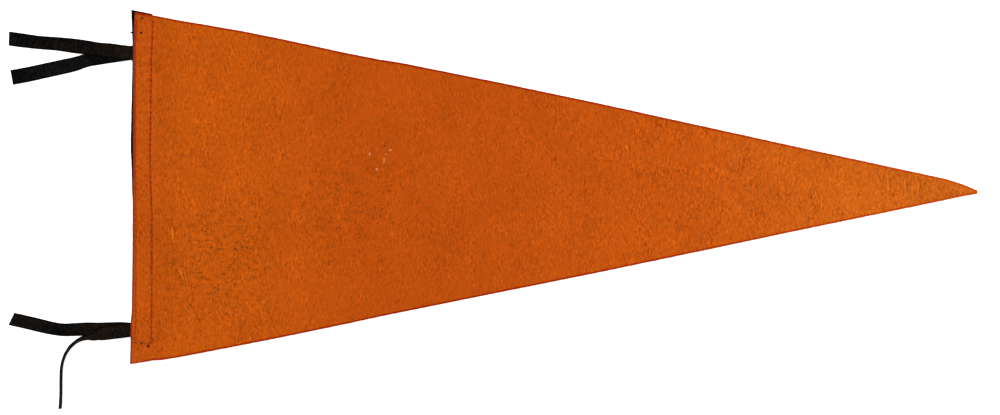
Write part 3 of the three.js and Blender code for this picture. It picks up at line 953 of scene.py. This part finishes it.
# Short streaks of matted strands, the light ones a painted highlight and the dark ones painted
# shade: size, then for light and for dark ones turn, strength and colour
STREAK_SIZE = (0.8, 4.0, 1.0)
STREAK_HIGHLIGHT_AND_SHADE = ((-4, 0.45, "#dc6a18"), (5, 0.85, "#7a2402"))
SOIL_COLOUR = "#5e2c08"
# Lines along the creases, painted highlight along a ridge and painted shade along a trough: how
# strong each is for its height, and its colour
RIDGE_HIGHLIGHT = (2.3, "#e07e1e")
TROUGH_SHADE = (3.4, "#742804")
CREASE_WAVER = 1.6  # by which the lines waver
# Painted shade: redder along the seams' grooves, darker in their needle holes
GROOVE_SHADE_COLOUR = "#8a2606"
NEEDLE_HOLE_SHADE_COLOUR = "#6c1206"
# Painted shade in the pin holes
PIN_HOLE_SHADE_COLOUR = "#2a0a04"


def felt_grain(tree, place):
    return [pattern(tree, place, *shape) for shape in (TUFTS, STRANDS, CROSSING, BLOTCHES)]


def grain_bump(tree, tufts, strands, crossing):
    coarse = {"Distance": TUFT_HEIGHT * MM, "Height": tufts}
    normal = add(tree, "Bump", coarse)
    both = add(tree, "Math ADD", {0: strands, 1: crossing})
    fine = {"Distance": STRAND_HEIGHT * MM, "Height": both, "Normal": normal}
    return add(tree, "Bump", fine)


def along_fly(tree, place, stops):
    """A colour that changes from the hoist to the tip."""
    x = add(tree, "SeparateXYZ", {0: place}, out="X")
    share = add(tree, "MapRange", {0: x, 1: HOIST_X, 2: TIP_X})
    return add(tree, "ValToRGB", {"Fac": share}, stops=stops)


# Marks on the orange felt: each is a share from 0 to 1 and the colour that shows there

def streak_highlight_and_shade_marks(tree, place, groups, contrast):
    """Matted strands in groups, with painted highlight where they stand up and painted shade where they
    lie in a hollow.
    """
    grouped = add(tree, "MapRange", {0: groups, 1: 0.42, 2: 0.62, 3: 0.15, 4: 1.0})
    grouped = add(tree, "Math MULTIPLY", {0: grouped, 1: contrast})
    for turn, strength, code in STREAK_HIGHLIGHT_AND_SHADE:
        streaks = pattern(tree, place, STREAK_SIZE, turn, detail=1.0, distortion=1.0)
        share = add(tree, "MapRange", {0: streaks, 1: 0.57, 2: 0.72, 3: 0.0, 4: strength}, **SOFT)
        yield add(tree, "Math MULTIPLY", {0: share, 1: grouped}), code


def soil_marks(tree, place, flat):
    """Soiled areas, dark in the hollows between the tufts."""
    soiled = 0.0
    for x, y, size_x, size_y, strength in SOILED:
        moved = add(tree, "VectorMath SUBTRACT", {0: flat, 1: (x, y, 0)})
        sized = add(tree, "VectorMath DIVIDE", {0: moved, 1: (size_x, size_y, 1)})
        away = add(tree, "VectorMath LENGTH", {0: sized}, out="Value")
        here = add(tree, "MapRange", {0: away, 1: 0.3, 2: 1.5, 3: strength, 4: 0.0}, **SOFT)
        soiled = add(tree, "Math MAXIMUM", {0: soiled, 1: here})
    grime = pattern(tree, place, *GRIME)
    rows = pattern(tree, place, *GRIME_ROWS)
    spots = add(tree, "MapRange", {0: grime, 1: 0.51, 2: 0.64, 3: 0.0, 4: 0.85}, **SOFT)
    in_rows = add(tree, "MapRange", {0: rows, 1: 0.46, 2: 0.57}, **SOFT)
    spots = add(tree, "Math MULTIPLY", {0: spots, 1: in_rows})
    yield add(tree, "Math MULTIPLY", {0: spots, 1: soiled}), SOIL_COLOUR


def crease_marks(tree, place, flat):
    """The creases' ridges catch the light, their troughs are darker."""
    waver = add(tree, "TexNoise", {"Vector": place, "Scale": 0.3}, out="Color")
    reach = (CREASE_WAVER, CREASE_WAVER, 0)
    bent = add(tree, "VectorMath MULTIPLY_ADD", {0: waver, 1: reach, 2: flat})
    for x, y, length, turn, width, rise in CREASES:
        if abs(rise) < SHARP_CREASE:
            continue
        inside = add(tree, "Mapping", {
            "Vector": bent, "Location": (x + CREASE_WAVER / 2, y + CREASE_WAVER / 2, 0),
            "Rotation": (0, 0, radians(turn)), "Scale": (0.45 * width, length / 2, 1),
        }, vector_type="TEXTURE")
        away = add(tree, "VectorMath LENGTH", {0: inside}, out="Value")
        gain, code = RIDGE_HIGHLIGHT if rise > 0 else TROUGH_SHADE
        strength = min(0.85, gain * abs(rise))
        line = {0: away, 1: 0.2, 2: 1.0, 3: strength, 4: 0.0}
        yield add(tree, "MapRange", line, **SOFT), code


def seam_shade_marks(tree, place):
    """Painted shade, redder, in the groove along each seam, weaker on the outer one, and painted shade
    in its needle holes.
    """
    y = add(tree, "SeparateXYZ", {0: place}, out="Y")
    from_start = add(tree, "Math SUBTRACT", {0: y, 1: SEAM_START_Y})
    from_hole = add(tree, "Math PINGPONG", {0: from_start, 1: STITCH_LENGTH / 2})
    for seam, strength in (("inner_seam", 1.0), ("outer_seam", 0.6)):
        aside = add(tree, "Attribute", out="Fac", attribute_name=seam)
        distance = add(tree, "Math ABSOLUTE", {0: aside})
        groove = {0: distance, 1: 0.2, 2: 1.1, 3: 0.4 * strength, 4: 0.0}
        yield add(tree, "MapRange", groove, **SOFT), GROOVE_SHADE_COLOUR
        away = add(tree, "CombineXYZ", {0: aside, 1: from_hole})
        away = add(tree, "VectorMath LENGTH", {0: away}, out="Value")
        hole = {0: away, 1: 0.4, 2: 1.2, 3: 0.85 * strength, 4: 0.0}
        yield add(tree, "MapRange", hole, **SOFT), NEEDLE_HOLE_SHADE_COLOUR


def pin_hole_shade_marks(tree, flat):
    # Painted shade in each pin hole
    for x, y, radius, _, darkness in PIN_HOLES:
        away = add(tree, "VectorMath DISTANCE", {0: flat, 1: (x, y, 0)}, out="Value")
        hole = {0: away, 1: radius * 0.4, 2: radius * 1.5, 3: darkness, 4: 0.0}
        yield add(tree, "MapRange", hole, **SOFT), PIN_HOLE_SHADE_COLOUR


def edge_shade_marks(tree, place, tufts):
    """Painted shade along the cut edges, where the felt rounds down to its side: darker and redder than
    the pressed face.
    """
    edge = add(tree, "Attribute", out="Fac", attribute_name="from_cut_edge")
    ragged = add(tree, "Math MULTIPLY_ADD", {0: tufts, 1: 1.2, 2: edge})
    share = add(tree, "MapRange", {0: ragged, 1: 1.4, 2: 2.6, 3: 0.97, 4: 0.0}, **SOFT)
    yield share, along_fly(tree, place, EDGE_SHADE_COLOURS)


def orange_felt():
    """Pressed wool felt, piece-dyed orange: dry and matt, with a soft bloom at the sides. Its strands
    are drawn 0.7 mm wide and about 3 mm long, coarser than wool fibres are, so that they show."""
    material, tree, shader = new_material("pressed wool felt orange")
    place = millimetres(tree)
    flat = add(tree, "VectorMath MULTIPLY", {0: place, 1: (1, 1, 0)})
    patterns = felt_grain(tree, place)
    grain = 0.0
    for value, depth in zip(patterns, GRAIN_DEPTHS):
        level = add(tree, "MapRange", {0: value, 3: -depth, 4: depth})
        grain = add(tree, "Math ADD", {0: grain, 1: level})
    contrast = along_fly(tree, place, GRAIN_CONTRAST)
    groups = pattern(tree, place, *GROUPS)
    in_groups = add(tree, "MapRange", {0: groups, 1: 0.38, 2: 0.64, 3: 0.70, 4: 1.25})
    grain = add(tree, "Math MULTIPLY", {0: grain, 1: in_groups})
    level = add(tree, "Math MULTIPLY_ADD", {0: grain, 1: contrast, 2: 1.0})
    colour = along_fly(tree, place, FLY_COLOURS)
    colour = add(tree, "VectorMath SCALE", {0: colour, "Scale": level})
    marks = [
        *streak_highlight_and_shade_marks(tree, place, groups, contrast), *soil_marks(tree, place, flat),
        *crease_marks(tree, place, flat), *seam_shade_marks(tree, place), *pin_hole_shade_marks(tree, flat),
        *edge_shade_marks(tree, place, patterns[0]),
    ]
    for share, mark in marks:
        colour = add(tree, "Mix", {0: share, 6: colour, 7: mark}, **COLOURS)
    feed(shader, {
        "Base Color": colour, "Normal": grain_bump(tree, *patterns[:3]), "Roughness": 0.95,
        "Specular IOR Level": 0.03, "Sheen Weight": 0.06, "Sheen Roughness": 0.5,
        "Sheen Tint": "#ff9a50",
    })
    return material


def black_felt():
    """Pressed wool felt, dyed black: it swallows light, and stray fibres on it catch some. The tails
    that faced the light have faded towards brown. Painted shade makes the cut edges the blackest."""
    material, tree, shader = new_material("pressed wool felt black")
    tufts, strands, crossing, blotches = felt_grain(tree, millimetres(tree))
    faded = add(tree, "Attribute", out="Fac", attribute_name="faded")
    lint = add(tree, "Mix", {0: faded, 6: "#0d0e0f", 7: "#15100b"}, **COLOURS)
    share = add(tree, "MapRange", {0: blotches, 1: 0.35, 2: 0.65})
    shade = add(tree, "Mix", {0: share, 6: "#080707", 7: lint}, **COLOURS)
    for value in (tufts, strands):
        level = add(tree, "MapRange", {0: value, 1: 0.35, 2: 0.65, 3: 0.5, 4: 1.6})
        shade = add(tree, "VectorMath SCALE", {0: shade, "Scale": level})
    # Painted shade: the felt is painted nearly black along its cut edges
    edge = add(tree, "Attribute", out="Fac", attribute_name="from_cut_edge")
    at_edge = add(tree, "MapRange", {0: edge, 1: 0.2, 2: 1.6, 3: 1.0, 4: 0.0}, **SOFT)
    shade = add(tree, "Mix", {0: at_edge, 6: shade, 7: "#040303"}, **COLOURS)
    feed(shader, {
        "Base Color": shade, "Normal": grain_bump(tree, tufts, strands, crossing),
        "Roughness": 0.95, "Specular IOR Level": 0.02,
    })
    return material


def wool_fibre(name, light, dark):
    """Single wool fibres, each a little lighter or darker than the next."""
    material, tree, shader = new_material(name)
    tint = add(tree, "Attribute", out="Fac", attribute_name="tint")
    colour = add(tree, "Mix", {0: tint, 6: dark, 7: light}, **COLOURS)
    feed(shader, {"Base Color": colour, "Roughness": 0.8, "Specular IOR Level": 0.1})
    return material


def field_fibre():
    """Wool fibres that have worked loose on the field's face, most of them lighter than the felt
    round them."""
    material, tree, shader = new_material("loose wool fibre orange")
    colour = along_fly(tree, millimetres(tree), FLY_COLOURS)
    tint = add(tree, "Attribute", out="Fac", attribute_name="tint")
    lighter = add(tree, "MapRange", {0: tint, 3: 0.85, 4: 1.4})
    colour = add(tree, "VectorMath SCALE", {0: colour, "Scale": lighter})
    bleached = add(tree, "MapRange", {0: tint, 1: 0.5, 2: 1.0, 3: 0.0, 4: 0.12})
    colour = add(tree, "Mix", {0: bleached, 6: colour, 7: "#e8a060"}, **COLOURS)
    feed(shader, {"Base Color": colour, "Roughness": 0.85, "Specular IOR Level": 0.1})
    return material


def cotton_thread():
    """Two-ply cotton sewing thread in maroon, faded most along the hoist. Its slanting plies are 0.4 mm
    apart, and it has a dull gloss."""
    material, tree, shader = new_material("twisted cotton thread maroon")
    place = millimetres(tree)
    bands = {"Vector": place, "Scale": 0.9, "Distortion": 0.6}
    plies = add(tree, "TexWave", bands, out="Fac", bands_direction="DIAGONAL")
    colour = add(tree, "Mix", {0: plies, 6: "#861c10", 7: "#9e3024"}, **COLOURS)
    patches = pattern(tree, place, (3.0, 5.0, 3.0), detail=1.0)
    faded = add(tree, "MapRange", {0: patches, 1: 0.42, 2: 0.62})
    colour = add(tree, "Mix", {0: faded, 6: colour, 7: "#ac4410"}, **COLOURS)
    x = add(tree, "SeparateXYZ", {0: place}, out="X")
    at_hoist = add(tree, "MapRange", {0: x, 1: -306.0, 2: -300.0, 3: 0.4, 4: 0.0})
    colour = add(tree, "Mix", {0: at_hoist, 6: colour, 7: "#b04c12"}, **COLOURS)
    bump = add(tree, "Bump", {"Strength": 0.6, "Distance": 0.08 * MM, "Height": plies})
    feed(shader, {
        "Base Color": colour, "Normal": bump, "Roughness": 0.8, "Specular IOR Level": 0.05,
    })
    return material


set_camera()
set_light()
set_floor()

FELT_ORANGE = orange_felt()
FELT_BLACK = black_felt()
DARK_FIBRE = wool_fibre("wool fibre black", "#14100e", "#050404")
THREAD = cotton_thread()

UPPER_TIE = tie_sections(UPPER_TAIL_BELOW, UPPER_TAIL_ABOVE, UPPER_TIE_SKEW)
LOWER_TIE = tie_sections(LOWER_TAIL_BELOW, LOWER_TAIL_ABOVE, LOWER_TIE_SKEW)

field = make_field(FELT_ORANGE)
heading = make_heading(FELT_BLACK)
tie_upper = make_tie("tie_upper_felt", "tie_upper", UPPER_TIE, [1], 31.0, FELT_BLACK)
tie_lower = make_tie("tie_lower_felt", "tie_lower", LOWER_TIE, [0, 1], 47.0, FELT_BLACK)
stitches = [
    make_stitches(name, seam, above, THREAD)
    for name, seam, above in (
        ("stitches_inner_back", INNER_SEAM, True), ("stitches_outer_back", OUTER_SEAM, True),
        ("stitches_inner_face", INNER_SEAM, False), ("stitches_outer_face", OUTER_SEAM, False),
    )
]
surface_fibres = make_surface_fibres(field_fibre())
raised_strands = make_raised_strands(wool_fibre("wool strand orange", "#e2802c", "#6c2202"))
# The fibres at the field's cut edges are coloured darker and redder than its face: painted shade, like
# the band along the cut edges
edge_fuzz = make_edge_fuzz(wool_fibre("wool fibre orange cut edge painted shade", "#b83c06", "#8a2002"))
tie_fuzz = [
    make_tie_fuzz("tie_upper_fuzz", UPPER_TIE, 61, DARK_FIBRE),
    make_tie_fuzz("tie_lower_fuzz", LOWER_TIE, 62, DARK_FIBRE),
]
specks = make_specks(wool_fibre("dried dirt", "#5e300f", "#40200a"))
WHITE_FIBRE = wool_fibre("cotton lint white", "#f2d0b2", "#d67e3a")
lint = make_strands("white_lint", wisps(WHITE_LINT, 70), WHITE_FIBRE, 71)
strands = make_strands("dark_strands", DARK_STRANDS, DARK_FIBRE, 72)

boxes = {"cad": CAD_BOX, "visual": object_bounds()}
{name: [list(corner) for corner in box] for name, box in boxes.items()}
